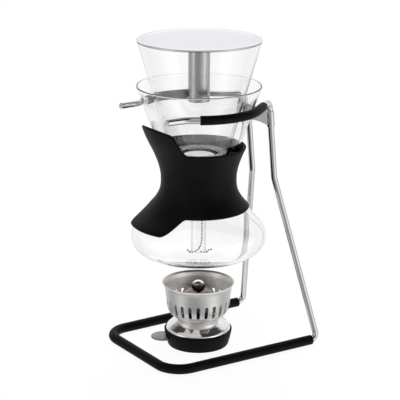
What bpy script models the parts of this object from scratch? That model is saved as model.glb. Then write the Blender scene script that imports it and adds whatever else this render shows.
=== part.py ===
"""Tabletop siphon coffee brewer, modelled as an assembly of separate pieces.

Units are metres and +Z is up. The origin is on the table at the brewer's vertical axis, which
the lid, both glass vessels and the spirit burner share. The stand's legs are on the +Y side and
its arms point to -Y. The stand is symmetric about X = 0.
"""

from math import acos, atan2, cos, hypot, pi, radians, sin, tan

import bmesh
import bpy
from mathutils import Matrix, Vector

MM = 0.001
GAP = 0.3 * MM                      # clearance between pieces that touch or nest
FINE, MEDIUM, COARSE = 32, 20, 12   # sides of large, middling and small turned pieces
ARC_STEP = 9.0 * MM                 # longest straight span on a bent rod's arcs

# ---------------------------------------------------------------- driving dimensions
TOTAL_HEIGHT = 395.0 * MM

ROD_RADIUS = 4.0 * MM
ARM_SLEEVE_RADIUS = 5.7 * MM
BASE_SLEEVE_RADIUS = 6.2 * MM
ARM_HEIGHT = 310.0 * MM             # centreline of the two arms
ARM_RADIUS = 75.0 * MM              # arc of the arms about the brewer's axis
ARM_ARC_START = radians(-32)
ARM_TIP = Vector((53.5, -81.0, 310.0)) * MM
ARM_STRAIGHT_X = 54.5 * MM          # half distance between the arms' parallel ends
RIGHT_SLEEVE_TAIL = 25.0 * MM       # how far the right arm's sleeve runs on behind the arc
LEFT_SLEEVE_TAIL = 3.0 * MM         # the left one is cut shorter
ARM_BEND, TOP_BEND, KINK_BEND, FOOT_BEND = 25.0 * MM, 10.0 * MM, 15.0 * MM, 8.0 * MM
LEG_TOP = Vector((24.0, 89.0, 310.0)) * MM
LEG_KINK = Vector((24.1, 98.4, 210.4)) * MM
FOOT_CORNER = Vector((83.4, 127.7, 6.2)) * MM
BASE_HALF_WIDTH = 80.6 * MM
BASE_FRONT_Y = -90.8 * MM
BASE_CORNER_RADIUS = 30.0 * MM
BASE_SLEEVE_END_Y = 117.0 * MM

COLLAR_RADIUS = 5.1 * MM
COLLAR_BOTTOM, COLLAR_TOP = 278.0 * MM, 298.5 * MM
PLATE_THICKNESS = 1.6 * MM

CARAFE_RIM_Z = 335.6 * MM
CARAFE_RIM_RADIUS = 77.3 * MM
CARAFE_ARM_RADIUS = 68.3 * MM       # outer radius of the cone level with the arms
WAIST_Z, WAIST_RADIUS = 217.5 * MM, 43.6 * MM
BULB_Z, BULB_RADIUS = 145.5 * MM, 84.7 * MM
BULB_DEPTH = 31.3 * MM              # from the bulb's widest level down to its base
GLASS = 2.0 * MM

BAND_THICKNESS = 3.4 * MM
BAND_TOP, BAND_WING_TOP = 261.0 * MM, 292.0 * MM
BAND_BOTTOM, BAND_WING_BOTTOM = 181.8 * MM, 162.8 * MM
BAND_TOP_FLARE, BAND_BOTTOM_FLARE = 7.0 * MM, 7.0 * MM
WING_TOP_EDGE = radians(27), radians(43)        # where the wing ends, from the front: start, end
WING_BOTTOM_EDGE = radians(22), radians(43)

BOWL_RIM_Z, BOWL_RIM_RADIUS = 391.7 * MM, 76.4 * MM
BOWL_FLOOR_Z, BOWL_FLOOR_RADIUS = 254.0 * MM, 38.0 * MM
RECESS_RADIUS, RECESS_FLOOR_Z = 23.0 * MM, 245.0 * MM
STEM_RADIUS, STEM_BORE, STEM_END_Z = 10.0 * MM, 8.0 * MM, 123.5 * MM

FILTER_RADIUS, FILTER_TOP_Z = 20.6 * MM, 249.3 * MM
BEAD_RADIUS, BEAD_PITCH = 1.5 * MM, 4.0 * MM
HOOK_ANGLE = radians(-123)          # side of the stem on which the chain's hook holds
SPRING_RADIUS, SPRING_WIRE, SPRING_TURNS = 4.0 * MM, 0.45 * MM, 5

LID_RADIUS = 76.7 * MM
LID_STEP_RADIUS = 66.0 * MM
LID_TUBE_RADIUS, LID_TUBE_BORE, LID_TUBE_END_Z = 13.6 * MM, 12.6 * MM, 318.0 * MM

TAB_RADIUS, TAB_REACH = 15.5 * MM, 44.9 * MM
TAB_BOTTOM, TAB_TOP = 8.6 * MM, 11.0 * MM
TAB_ANGLE = radians(-118)           # direction in which the burner's tab points
RESERVOIR_WALL, CAP_WALL, GUARD_WALL = 0.9 * MM, 0.7 * MM, 0.9 * MM
SLOT_COUNT, SLOT_WIDTH = 24, 4.2 * MM
SLOT_BOTTOM, SLOT_TOP, SLOT_PHASE = 45.0 * MM, 61.5 * MM, radians(-3)


# ---------------------------------------------------------------- scene and materials
def clear_scene():
    for old in list(bpy.data.objects):
        bpy.data.objects.remove(old, do_unlink=True)


def material(name, colour, roughness, metallic=0.0, transmission=0.0):
    made = bpy.data.materials.new(name)
    made.use_nodes = True
    shader = made.node_tree.nodes["Principled BSDF"]
    shader.inputs["Base Color"].default_value = (*colour, 1.0)
    shader.inputs["Roughness"].default_value = roughness
    shader.inputs["Metallic"].default_value = metallic
    shader.inputs["Transmission Weight"].default_value = transmission
    return made


def add_object(name, mesh, finish, parent=None):
    """A named object with one material, shaded smooth apart from its real edges."""
    mesh.materials.append(finish)
    mesh.shade_smooth()
    mesh.set_sharp_from_angle(angle=radians(35))
    made = bpy.data.objects.new(name, mesh)
    bpy.context.scene.collection.objects.link(made)
    made.parent = parent
    return made


def add_body(name):
    """An empty on the brewer's axis that carries the pieces of one moving body."""
    empty = bpy.data.objects.new(name, None)
    empty.empty_display_size = 20 * MM
    bpy.context.scene.collection.objects.link(empty)
    return empty


# ---------------------------------------------------------------- mesh builders
def finish_mesh(name, work):
    bmesh.ops.remove_doubles(work, verts=work.verts, dist=1e-6)
    bmesh.ops.recalc_face_normals(work, faces=work.faces)
    mesh = bpy.data.meshes.new(name)
    work.to_mesh(mesh)
    work.free()
    return mesh


def turned(name, outline, sides):
    """Spins a closed outline of (radius, height) points round the Z axis."""
    work = bmesh.new()
    ring = [work.verts.new((radius, 0.0, height)) for radius, height in outline]
    on_axis = [radius < 1e-9 for radius, _ in outline]
    edges = []
    for index, vert in enumerate(ring):
        after = (index + 1) % len(ring)
        if not (on_axis[index] and on_axis[after]):
            edges.append(work.edges.new((vert, ring[after])))
    bmesh.ops.spin(work, geom=ring + edges, cent=(0, 0, 0), axis=(0, 0, 1), angle=2 * pi,
                   steps=sides, use_merge=True)
    return finish_mesh(name, work)


def smooth_through(points, steps):
    """Points on a Catmull-Rom curve through a few chosen points, with `steps` spans between two."""
    ends = [points[0] * 2 - points[1], *points, points[-1] * 2 - points[-2]]
    curve = []
    for a, b, c, d in zip(ends, ends[1:], ends[2:], ends[3:]):
        for step in range(steps):
            t = step / steps
            curve.append(0.5 * (2 * b + (c - a) * t + (2 * a - 5 * b + 4 * c - d) * t * t
                                + (3 * b - a - 3 * c + d) * t * t * t))
    return curve + [points[-1]]


def shell_outline(outer, thickness):
    """Closes an open outline with a second one, offset to its left by the wall's thickness."""
    inner = []
    for index, point in enumerate(outer):
        before = outer[max(index - 1, 0)]
        after = outer[min(index + 1, len(outer) - 1)]
        along = (after - before).normalized()
        inner.append(point + Vector((-along.y, along.x)) * thickness)
    for end in (0, -1):
        if outer[end].x < 1e-9:
            inner[end].x = 0.0
    return outer + inner[::-1]


def fillet_path(corners):
    """Points of a bent rod. Each corner is (position, bend radius); both ends have radius 0."""
    path = [corners[0][0]]
    for (before, _), (corner, radius), (after, _) in zip(corners, corners[1:], corners[2:]):
        to_before = (before - corner).normalized()
        to_after = (after - corner).normalized()
        turn = pi - acos(to_before.dot(to_after))
        centre = corner + (to_before + to_after).normalized() * radius / cos(turn / 2)
        start = corner + to_before * radius * tan(turn / 2) - centre
        axis = start.cross(to_before).normalized()
        steps = max(2, round(turn / radians(15)), round(turn * radius / ARC_STEP))
        for step in range(steps + 1):
            path.append(centre + Matrix.Rotation(-turn * step / steps, 3, axis) @ start)
    return path + [corners[-1][0]]


def lengths_along(path):
    total = [0.0]
    for a, b in zip(path, path[1:]):
        total.append(total[-1] + (b - a).length)
    return total


def stretch(path, start, end):
    """The part of a path between two distances along it."""
    total = lengths_along(path)

    def point_at(distance):
        for index in range(len(path) - 1):
            if distance <= total[index + 1]:
                share = (distance - total[index]) / (total[index + 1] - total[index])
                return path[index].lerp(path[index + 1], share)
        return path[-1]

    inside = [p for p, s in zip(path, total) if start + 0.5 * MM < s < end - 0.5 * MM]
    return [point_at(start), *inside, point_at(end)]


def swept_rings(work, path, radii, sides):
    """A ring of verts round each path point, in frames carried along without twist."""
    tangents = []
    for index in range(len(path)):
        before, after = path[max(index - 1, 0)], path[min(index + 1, len(path) - 1)]
        tangents.append((after - before).normalized())
    normal = tangents[0].orthogonal().normalized()
    rings = []
    for index, (point, tangent, radius) in enumerate(zip(path, tangents, radii)):
        normal = (normal - tangent * normal.dot(tangent)).normalized()
        side = tangent.cross(normal)
        # On a bend the ring is stretched across it, so that the rod keeps its thickness.
        bend = Vector((0, 0, 0))
        squeeze = 1.0
        if 0 < index < len(path) - 1:
            ahead = (path[index + 1] - point).normalized()
            behind = (point - path[index - 1]).normalized()
            if (ahead - behind).length > 1e-6:
                bend = (ahead - behind).normalized()
                squeeze = 1 / max(0.7, ahead.dot(tangent))
        ring = []
        for step in range(sides):
            angle = 2 * pi * step / sides
            offset = (normal * cos(angle) + side * sin(angle)) * radius
            offset += bend * offset.dot(bend) * (squeeze - 1)
            ring.append(work.verts.new(point + offset))
        rings.append(ring)
    return rings


def bridge(work, first, second):
    for index in range(len(first)):
        after = (index + 1) % len(first)
        work.faces.new((first[index], first[after], second[after], second[index]))


def rod(name, path, radius, sides):
    """A solid round rod along a path, its two ends slightly rounded."""
    ends = 0.35 * radius
    first = (path[1] - path[0]).normalized()
    last = (path[-1] - path[-2]).normalized()
    full = [path[0], path[0] + first * ends, *path[1:-1], path[-1] - last * ends, path[-1]]
    radii = [radius * 0.72] + [radius] * (len(full) - 2) + [radius * 0.72]
    return beaded(name, full, radii, sides)


def beaded(name, path, radii, sides):
    """A solid of round section whose radius is given at each path point."""
    work = bmesh.new()
    rings = swept_rings(work, path, radii, sides)
    for first, second in zip(rings, rings[1:]):
        bridge(work, first, second)
    work.faces.new(rings[0])
    work.faces.new(rings[-1])
    return finish_mesh(name, work)


def sleeve(name, path, bore, radius, sides):
    """A tube of round section along a path, open at both ends."""
    work = bmesh.new()
    outer = swept_rings(work, path, [radius] * len(path), sides)
    inner = swept_rings(work, path, [bore] * len(path), sides)
    for rings in (outer, inner):
        for first, second in zip(rings, rings[1:]):
            bridge(work, first, second)
    bridge(work, outer[0], inner[0])
    bridge(work, outer[-1], inner[-1])
    return finish_mesh(name, work)


def points(*pairs):
    """Outline points from (radius, height) pairs in millimetres."""
    return [Vector(pair) * MM for pair in pairs]


# ---------------------------------------------------------------- stand
def mirrored(point):
    return Vector((-point.x, point.y, point.z))


def arm_tangent(angle):
    """The point of the arms' arc at an angle from +X, and the arc's direction there."""
    point = Vector((ARM_RADIUS * cos(angle), ARM_RADIUS * sin(angle), ARM_HEIGHT))
    return point, Vector((-sin(angle), cos(angle), 0))


def arm_arc_end():
    """Angle at which the straight line to the leg's top leaves the arc."""
    reach = hypot(LEG_TOP.x, LEG_TOP.y)
    return atan2(LEG_TOP.y, LEG_TOP.x) - acos(ARM_RADIUS / reach)


def half_stand_corners():
    """The rod's corners on the +X side, from the arm's tip to the middle of the base's front."""
    start, along = arm_tangent(ARM_ARC_START)
    arm_bend = start + along * (ARM_STRAIGHT_X - start.x) / along.x
    half_turn = (arm_arc_end() - ARM_ARC_START) / 2
    middle, _ = arm_tangent(ARM_ARC_START + half_turn)
    arc_corner = Vector((middle.x / cos(half_turn), middle.y / cos(half_turn), ARM_HEIGHT))
    front_corner = Vector((BASE_HALF_WIDTH, BASE_FRONT_Y, FOOT_CORNER.z))
    return [
        (ARM_TIP, 0.0),
        (arm_bend, ARM_BEND),
        (arc_corner, ARM_RADIUS),
        (LEG_TOP, TOP_BEND),
        (LEG_KINK, KINK_BEND),
        (FOOT_CORNER, FOOT_BEND),
        (front_corner, BASE_CORNER_RADIUS),
    ]


def stand_path():
    half = half_stand_corners()
    other = [(mirrored(corner), radius) for corner, radius in reversed(half)]
    return fillet_path(half + other)


def distance_to(path, target):
    """Distance along the path of the point nearest to the target."""
    total = lengths_along(path)
    best = min(range(len(path)), key=lambda index: (path[index] - target).length)
    return total[best]


def leg_at(height):
    """Point of the +X leg's upper stretch at a height."""
    share = (height - LEG_KINK.z) / (LEG_TOP.z - LEG_KINK.z)
    return LEG_KINK.lerp(LEG_TOP, share)


def make_bracket(steel):
    for side, name in ((1, "bracket_collar_right"), (-1, "bracket_collar_left")):
        ends = [leg_at(height) for height in (COLLAR_BOTTOM, COLLAR_TOP)]
        if side < 0:
            ends = [mirrored(end) for end in ends]
        add_object(name, sleeve(name, ends, ROD_RADIUS + GAP, COLLAR_RADIUS, 12), steel)
    # The plate leans with the legs and stands between the two collars.
    low, high = leg_at(COLLAR_BOTTOM), leg_at(COLLAR_TOP)
    half_width = low.x - COLLAR_RADIUS - GAP
    work = bmesh.new()
    corners = []
    for centre in (low, high):
        for x in (-half_width, half_width):
            for y in (-PLATE_THICKNESS / 2, PLATE_THICKNESS / 2):
                corners.append(work.verts.new((x, centre.y + y, centre.z)))
    bmesh.ops.convex_hull(work, input=corners)
    add_object("bracket_plate", finish_mesh("bracket_plate", work), steel)


def make_stand(steel, rubber):
    path = stand_path()
    add_object("stand_rod", rod("stand_rod", path, ROD_RADIUS, 10), steel)
    total = lengths_along(path)[-1]
    start_point, _ = arm_tangent(ARM_ARC_START)
    end_point, _ = arm_tangent(arm_arc_end())
    arm_from = distance_to(path, start_point)
    arc_to = distance_to(path, end_point)
    foot = Vector((FOOT_CORNER.x, BASE_SLEEVE_END_Y, FOOT_CORNER.z))
    base_from = distance_to(path, foot) + 2 * MM
    pieces = {
        "arm_sleeve_right": (arm_from, arc_to + RIGHT_SLEEVE_TAIL, ARM_SLEEVE_RADIUS),
        "arm_sleeve_left": (total - arc_to - LEFT_SLEEVE_TAIL, total - arm_from, ARM_SLEEVE_RADIUS),
        "base_sleeve": (base_from, total - base_from, BASE_SLEEVE_RADIUS),
    }
    for name, (start, end, radius) in pieces.items():
        piece = stretch(path, start, end)
        add_object(name, sleeve(name, piece, ROD_RADIUS + GAP, radius, 12), rubber)
    make_bracket(steel)


# ---------------------------------------------------------------- carafe
def cone_radius(height):
    """Outer radius of the carafe's straight cone."""
    slope = (CARAFE_RIM_RADIUS - CARAFE_ARM_RADIUS) / (CARAFE_RIM_Z - ARM_HEIGHT)
    return CARAFE_ARM_RADIUS + slope * (height - ARM_HEIGHT)


def bulb_radius(height):
    """Outer radius of the bulb's lower half, a flattened round."""
    power = 2.55
    depth = min(1.0, (BULB_Z - height) / BULB_DEPTH)
    return BULB_RADIUS * (1 - depth ** power) ** (1 / power)


def carafe_outer():
    """Outer outline of the glass hourglass: flat base, wide bulb, waist and straight cone."""
    base_z = BULB_Z - BULB_DEPTH
    outline = [Vector((0, base_z)), Vector((24 * MM, base_z + 0.35 * MM))]
    for depth in (0.95, 0.75, 0.45, 0.2):
        height = BULB_Z - BULB_DEPTH * depth
        outline.append(Vector((bulb_radius(height), height)))
    outline.append(Vector((BULB_RADIUS, BULB_Z)))
    outline += points((83.4, 154), (77.0, 164), (69.0, 172.5), (60.2, 182.5), (51.6, 192.5), (46.4, 202))
    outline.append(Vector((WAIST_RADIUS + 0.6 * MM, WAIST_Z - 7.5 * MM)))
    outline.append(Vector((WAIST_RADIUS, WAIST_Z)))
    outline += points((44.1, 228), (46.1, 242), (49.6, 257))
    for height in (272 * MM, CARAFE_RIM_Z):
        outline.append(Vector((cone_radius(height), height)))
    return outline


def outline_radius(outline, height):
    """Radius at a height on an outline that rises from point to point."""
    for low, high in zip(outline, outline[1:]):
        if low.y <= height <= high.y:
            return low.x + (high.x - low.x) * (height - low.y) / (high.y - low.y)
    return outline[-1].x


def make_carafe(glass, parent):
    outline = shell_outline(carafe_outer(), GLASS)
    add_object("carafe_glass", turned("carafe_glass", outline, FINE), glass, parent)


def eased(value, start, end):
    """1 up to start, 0 from end, and a smooth fall between."""
    share = min(1.0, max(0.0, (value - start) / (end - start)))
    return 1 - share * share * (3 - 2 * share)


def band_outer(glass_outline, height):
    """The band's outer radius: it grips the waist, and its edges flare off the glass."""
    top_flare = BAND_TOP_FLARE * (1 - eased(height, 222 * MM, 283 * MM))
    bottom_flare = BAND_BOTTOM_FLARE * eased(height, 157 * MM, 184 * MM)
    grip = outline_radius(glass_outline, height) + GAP + BAND_THICKNESS
    return grip + top_flare + bottom_flare


def make_band(rubber, parent):
    """A ring round the waist with one wing, on the -Y side, that reaches further up and down."""
    rows = 9
    glass_outline = carafe_outer()
    work = bmesh.new()
    columns = []
    for step in range(FINE):
        angle = 2 * pi * step / FINE
        from_front = abs((angle + pi / 2 + pi) % (2 * pi) - pi)
        crest = 0.78 + 0.22 * cos(min(from_front / radians(38), 1) * pi / 2)
        top_reach = crest * eased(from_front, *WING_TOP_EDGE)
        bottom_reach = eased(from_front, *WING_BOTTOM_EDGE)
        top = BAND_TOP + (BAND_WING_TOP - BAND_TOP) * top_reach
        bottom = BAND_BOTTOM + (BAND_WING_BOTTOM - BAND_BOTTOM) * bottom_reach
        column = []
        for wall in (0.0, BAND_THICKNESS):
            for row in range(rows + 1):
                height = bottom + (top - bottom) * row / rows
                radius = band_outer(glass_outline, height) - wall
                column.append(work.verts.new((radius * cos(angle), radius * sin(angle), height)))
        outer, inner = column[:rows + 1], column[rows + 1:]
        columns.append(outer + inner[::-1])
    for index, column in enumerate(columns):
        bridge(work, column, columns[(index + 1) % FINE])
    add_object("silicone_band", finish_mesh("silicone_band", work), rubber, parent)


# ---------------------------------------------------------------- upper bowl and filter
def make_bowl(glass, rubber, parent):
    """Glass cone with a flat floor, a recess for the filter and a long stem."""
    outer = [
        Vector((STEM_RADIUS, STEM_END_Z)),
        Vector((STEM_RADIUS, RECESS_FLOOR_Z - 7 * MM)),
        Vector((16 * MM, RECESS_FLOOR_Z - 3.2 * MM)),
        Vector((RECESS_RADIUS, RECESS_FLOOR_Z - GLASS)),
        Vector((RECESS_RADIUS + GLASS, RECESS_FLOOR_Z + 1 * MM)),
        Vector((RECESS_RADIUS + GLASS + 1 * MM, BOWL_FLOOR_Z - GLASS)),
        Vector((BOWL_FLOOR_RADIUS - 3 * MM, BOWL_FLOOR_Z - GLASS)),
        Vector((BOWL_FLOOR_RADIUS, BOWL_FLOOR_Z + 1 * MM)),
        Vector((BOWL_RIM_RADIUS, BOWL_RIM_Z)),
    ]
    inner = [
        Vector((BOWL_RIM_RADIUS - GLASS, BOWL_RIM_Z)),
        Vector((BOWL_FLOOR_RADIUS - GLASS, BOWL_FLOOR_Z + 2.2 * MM)),
        Vector((BOWL_FLOOR_RADIUS - GLASS - 2 * MM, BOWL_FLOOR_Z)),
        Vector((RECESS_RADIUS + 1 * MM, BOWL_FLOOR_Z)),
        Vector((RECESS_RADIUS, BOWL_FLOOR_Z - 1.4 * MM)),
        Vector((RECESS_RADIUS, RECESS_FLOOR_Z)),
        Vector((STEM_BORE + 1 * MM, RECESS_FLOOR_Z)),
        Vector((STEM_BORE, RECESS_FLOOR_Z - 1 * MM)),
        Vector((STEM_BORE, STEM_END_Z)),
    ]
    add_object("upper_bowl_glass", turned("upper_bowl_glass", outer + inner, FINE), glass, parent)
    # The stopper grips the stem, carries the bowl's floor and seals in the carafe's neck.
    stopper = points((10.4, 222), (16, 222), (18, 234), (33, 236.5), (37.0, 222.5), (40.6, 222),
                     (42.3, 240), (44.6, 250.6), (43.8, 251.6), (26.8, 251.6), (25.6, 245.0),
                     (23.3, 242.2), (10.4, 237.2))
    add_object("neck_stopper", turned("neck_stopper", stopper, FINE), rubber, parent)


def hook_side(*spots):
    """Points in the upright plane of the chain's hook, from (distance, height) in millimetres."""
    return [Vector((cos(HOOK_ANGLE) * across, sin(HOOK_ANGLE) * across, height)) * MM
            for across, height in spots]


def bead_string(name, path, steel, parent):
    """Ball chain as one solid: beads joined by a thin wire."""
    total = lengths_along(path)[-1]
    count = int(total / BEAD_PITCH)
    profile = ((0.0, 0.3), (0.3, 1.0), (0.7, 1.0))
    stops, radii = [], []
    for bead in range(count):
        for share, size in profile:
            stops.append((bead + share) * BEAD_PITCH)
            radii.append(BEAD_RADIUS * size)
    spots = []
    for stop in stops:
        spots.append(stretch(path, 0.0, max(stop, 0.01 * MM))[-1])
    add_object(name, beaded(name, spots, radii, 5), steel, parent)


def make_filter(cloth, steel, parent):
    plate_top = FILTER_TOP_Z - 0.9 * MM
    plate = [Vector((0, plate_top - 2.1 * MM)), Vector((FILTER_RADIUS - 1.0 * MM, plate_top - 2.1 * MM)),
             Vector((FILTER_RADIUS - 1.0 * MM, plate_top)), Vector((0, plate_top))]
    add_object("filter_plate", turned("filter_plate", plate, MEDIUM), steel, parent)
    wrap = points((12, 245.3), (20.2, 245.3), (20.6, 245.7), (20.6, 248.9), (20.2, 249.3), (0, 249.3),
                  (0, 248.7), (19.9, 248.7), (19.9, 246.0), (12, 246.0))
    add_object("filter_cloth", turned("filter_cloth", wrap, MEDIUM), cloth, parent)
    coil = []
    steps = 8
    low, high = 229 * MM, 245.4 * MM
    for step in range(SPRING_TURNS * steps + 1):
        share = step / (SPRING_TURNS * steps)
        angle = 2 * pi * SPRING_TURNS * share
        coil.append(Vector((SPRING_RADIUS * cos(angle), SPRING_RADIUS * sin(angle),
                            low + (high - low) * share)))
    add_object("filter_spring", rod("filter_spring", coil, SPRING_WIRE, 4), steel, parent)
    chain = smooth_through(hook_side((0, 227.5), (-4.3, 200), (-4.3, 160), (-4, 137), (-1, 128), (3, 123.2),
                                     (7.5, 121.5), (11, 121.7), (13.4, 123.6), (13.6, 126)), 5)
    bead_string("ball_chain", chain, steel, parent)
    tail = smooth_through(hook_side((-3.4, 122.2), (-7.5, 121.4), (-11.4, 122), (-13.6, 125),
                                    (-18.4, 125.4)), 5)
    bead_string("chain_tail", tail, steel, parent)


# ---------------------------------------------------------------- lid
def make_lid(steel, parent):
    """Round steel lid with a rolled edge, and the tube that hangs under its middle."""
    top, sheet = TOTAL_HEIGHT, 1.2 * MM
    step_top = top - 1.4 * MM
    outline = [
        Vector((0, step_top - sheet)),
        Vector((LID_STEP_RADIUS, step_top - sheet)),
        Vector((LID_STEP_RADIUS + 1.6 * MM, top - 2.9 * MM)),
        Vector((LID_RADIUS - 0.6 * MM, top - 2.9 * MM)),
        Vector((LID_RADIUS, top - 2.2 * MM)),
        Vector((LID_RADIUS, top - 0.7 * MM)),
        Vector((LID_RADIUS - 0.7 * MM, top)),
        Vector((LID_STEP_RADIUS + 1.2 * MM, top)),
        Vector((LID_STEP_RADIUS, step_top)),
        Vector((0, step_top)),
    ]
    add_object("lid_plate", turned("lid_plate", outline, FINE), steel, parent)
    tube_top = step_top - sheet - GAP
    tube = [
        Vector((LID_TUBE_BORE, LID_TUBE_END_Z)),
        Vector((LID_TUBE_RADIUS, LID_TUBE_END_Z)),
        Vector((LID_TUBE_RADIUS, tube_top)),
        Vector((LID_TUBE_BORE, tube_top)),
    ]
    add_object("lid_tube", turned("lid_tube", tube, MEDIUM), steel, parent)


# ---------------------------------------------------------------- burner
def make_boot(rubber, parent):
    """Rubber foot of the burner, with its flat oval tab."""
    outline = points((0, 0), (38.0, 0), (39.0, 1.4), (41.2, 9.5), (42.9, 17.2), (43.3, 20.8),
                     (41.9, 20.8), (41.7, 16.6), (38.8, 9.0), (35.0, 3.0), (0, 3.0))
    boot = add_object("burner_boot", turned("burner_boot", outline, FINE), rubber, parent)
    edge = 0.7 * MM
    tab = [Vector((0, TAB_BOTTOM)), Vector((TAB_RADIUS - edge, TAB_BOTTOM)),
           Vector((TAB_RADIUS, TAB_BOTTOM + edge)), Vector((TAB_RADIUS, TAB_TOP - edge)),
           Vector((TAB_RADIUS - edge, TAB_TOP)), Vector((0, TAB_TOP))]
    guide = add_object("tab_guide", turned("tab_guide", tab, MEDIUM), rubber, parent)
    guide.location = (TAB_REACH * cos(TAB_ANGLE), TAB_REACH * sin(TAB_ANGLE), 0)
    guide.hide_render = True
    guide.display_type = "WIRE"
    # The inside of the boot stays clear for the reservoir.
    cavity_outline = points((0, 3.0), (35.0, 3.0), (38.8, 9.0), (41.7, 16.6), (41.9, 20.8), (0, 20.8))
    cavity = add_object("cavity_guide", turned("cavity_guide", cavity_outline, FINE), rubber, parent)
    cavity.hide_render = True
    cavity.display_type = "WIRE"
    trim = guide.modifiers.new("trim", "BOOLEAN")
    trim.operation = "DIFFERENCE"
    trim.object = cavity
    join = boot.modifiers.new("tab", "BOOLEAN")
    join.operation = "UNION"
    join.object = guide


def make_reservoir(chrome, rubber, parent):
    """Hollow fuel can with a sloping shoulder and a sunk open neck for the wick holder."""
    outer = points((0, 3.3), (34.6, 3.3), (38.4, 9.2), (41.2, 16.8), (41.4, 21.6), (39.6, 25.2),
                   (34.2, 30.0), (28.4, 34.5), (24.6, 36.3), (21.6, 36.5), (21.0, 33.9), (15.4, 33.9))
    outline = shell_outline(outer, RESERVOIR_WALL)
    add_object("fuel_reservoir", turned("fuel_reservoir", outline, FINE), chrome, parent)
    seal = points((15.6, 34.2), (20.2, 34.2), (20.2, 35.2), (15.6, 35.2))
    add_object("holder_seal", turned("holder_seal", seal, MEDIUM), rubber, parent)


def make_wick_holder(chrome, cotton, burner, cap_body, wick_body):
    """Round wick tower: flange, wide barrel, sloping shoulder, and a narrow tube for the wick."""
    tower = points((4.0, 27), (6.0, 27), (6.0, 33), (14.9, 33), (14.9, 35.5), (20.4, 35.5), (20.4, 37.4),
                   (19.2, 38.2), (19.6, 69.0), (18.6, 70.6), (9.6, 73.6), (7.2, 74.2), (7.2, 80.0),
                   (6.2, 80.6), (4.0, 80.6))
    add_object("wick_holder", turned("wick_holder", tower, MEDIUM), chrome, burner)
    wick = points((0, 6), (3.0, 6), (3.6, 7), (3.6, 80.6), (2.6, 81.4), (0, 81.4))
    add_object("wick", turned("wick", wick, COARSE), cotton, wick_body)
    dome = points((8.6, 74.6), (8.6, 78.2), (7.9, 80.9), (5.9, 83.1), (3.0, 84.2), (0, 84.5))
    outline = shell_outline(dome, CAP_WALL)
    add_object("snuffer_cap", turned("snuffer_cap", outline, MEDIUM), chrome, cap_body)


def make_wind_guard(satin, parent):
    """Open cup round the wick, with a ring of upright slots that let the air in."""
    outer = points((22.4, 36.9), (24.8, 37.0), (29.6, 38.5), (33.9, 41.6), (37.2, 46.2), (39.2, 54),
                   (40.4, 67), (42.0, 77), (43.4, 81.0), (45.2, 83.1))
    outline = shell_outline(outer, GUARD_WALL)
    guard = add_object("wind_guard", turned("wind_guard", outline, FINE), satin, parent)
    cutters = bmesh.new()
    half = SLOT_WIDTH / 2
    for index in range(SLOT_COUNT):
        turn = Matrix.Rotation(SLOT_PHASE + 2 * pi * index / SLOT_COUNT, 4, "Z")
        rim = []
        for step in range(6):
            angle = 2 * pi * step / 6 + pi / 2
            end = SLOT_TOP - half if sin(angle) > 0 else SLOT_BOTTOM + half
            rim.append((cos(angle) * half, end + sin(angle) * half))
        near = [cutters.verts.new(turn @ Vector((31 * MM, across, height))) for across, height in rim]
        far = [cutters.verts.new(turn @ Vector((44 * MM, across, height))) for across, height in rim]
        bridge(cutters, near, far)
        cutters.faces.new(near)
        cutters.faces.new(far)
    slots = add_object("slot_cutters", finish_mesh("slot_cutters", cutters), satin, parent)
    slots.hide_render = True
    slots.display_type = "WIRE"
    cut = guard.modifiers.new("slots", "BOOLEAN")
    cut.operation = "DIFFERENCE"
    cut.object = slots


# ---------------------------------------------------------------- assembly
def main():
    clear_scene()
    glass = material("clear_glass", (0.95, 0.97, 0.96), 0.02, transmission=1.0)
    steel = material("polished_steel", (0.62, 0.60, 0.58), 0.22, metallic=1.0)
    brushed = material("brushed_steel", (0.80, 0.80, 0.82), 0.35, metallic=1.0)
    chrome = material("chrome", (0.85, 0.85, 0.86), 0.06, metallic=1.0)
    satin = material("satin_steel", (0.55, 0.54, 0.53), 0.4, metallic=1.0)
    rubber = material("black_rubber", (0.012, 0.011, 0.011), 0.6)
    cloth = material("filter_cotton", (0.9, 0.89, 0.86), 0.9)
    wick_cotton = material("wick_cotton", (0.7, 0.66, 0.58), 0.95)

    carafe = add_body("carafe_body")
    bowl = add_body("upper_bowl_body")
    lid = add_body("lid_body")
    burner = add_body("burner_body")
    guard = add_body("guard_body")
    cap = add_body("cap_body")
    wick = add_body("wick_body")
    bowl.parent = carafe
    lid.parent = bowl
    for piece in (guard, cap, wick):
        piece.parent = burner

    make_stand(steel, rubber)
    make_carafe(glass, carafe)
    make_band(rubber, carafe)
    make_bowl(glass, rubber, bowl)
    make_filter(cloth, steel, bowl)
    make_lid(brushed, lid)
    make_boot(rubber, burner)
    make_reservoir(chrome, rubber, burner)
    make_wick_holder(chrome, wick_cotton, burner, cap, wick)
    make_wind_guard(satin, guard)


main()
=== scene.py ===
from math import acos, atan2, cos, hypot, pi, radians, sin, tan

import bmesh
import bpy
from mathutils import Matrix, Vector


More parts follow.
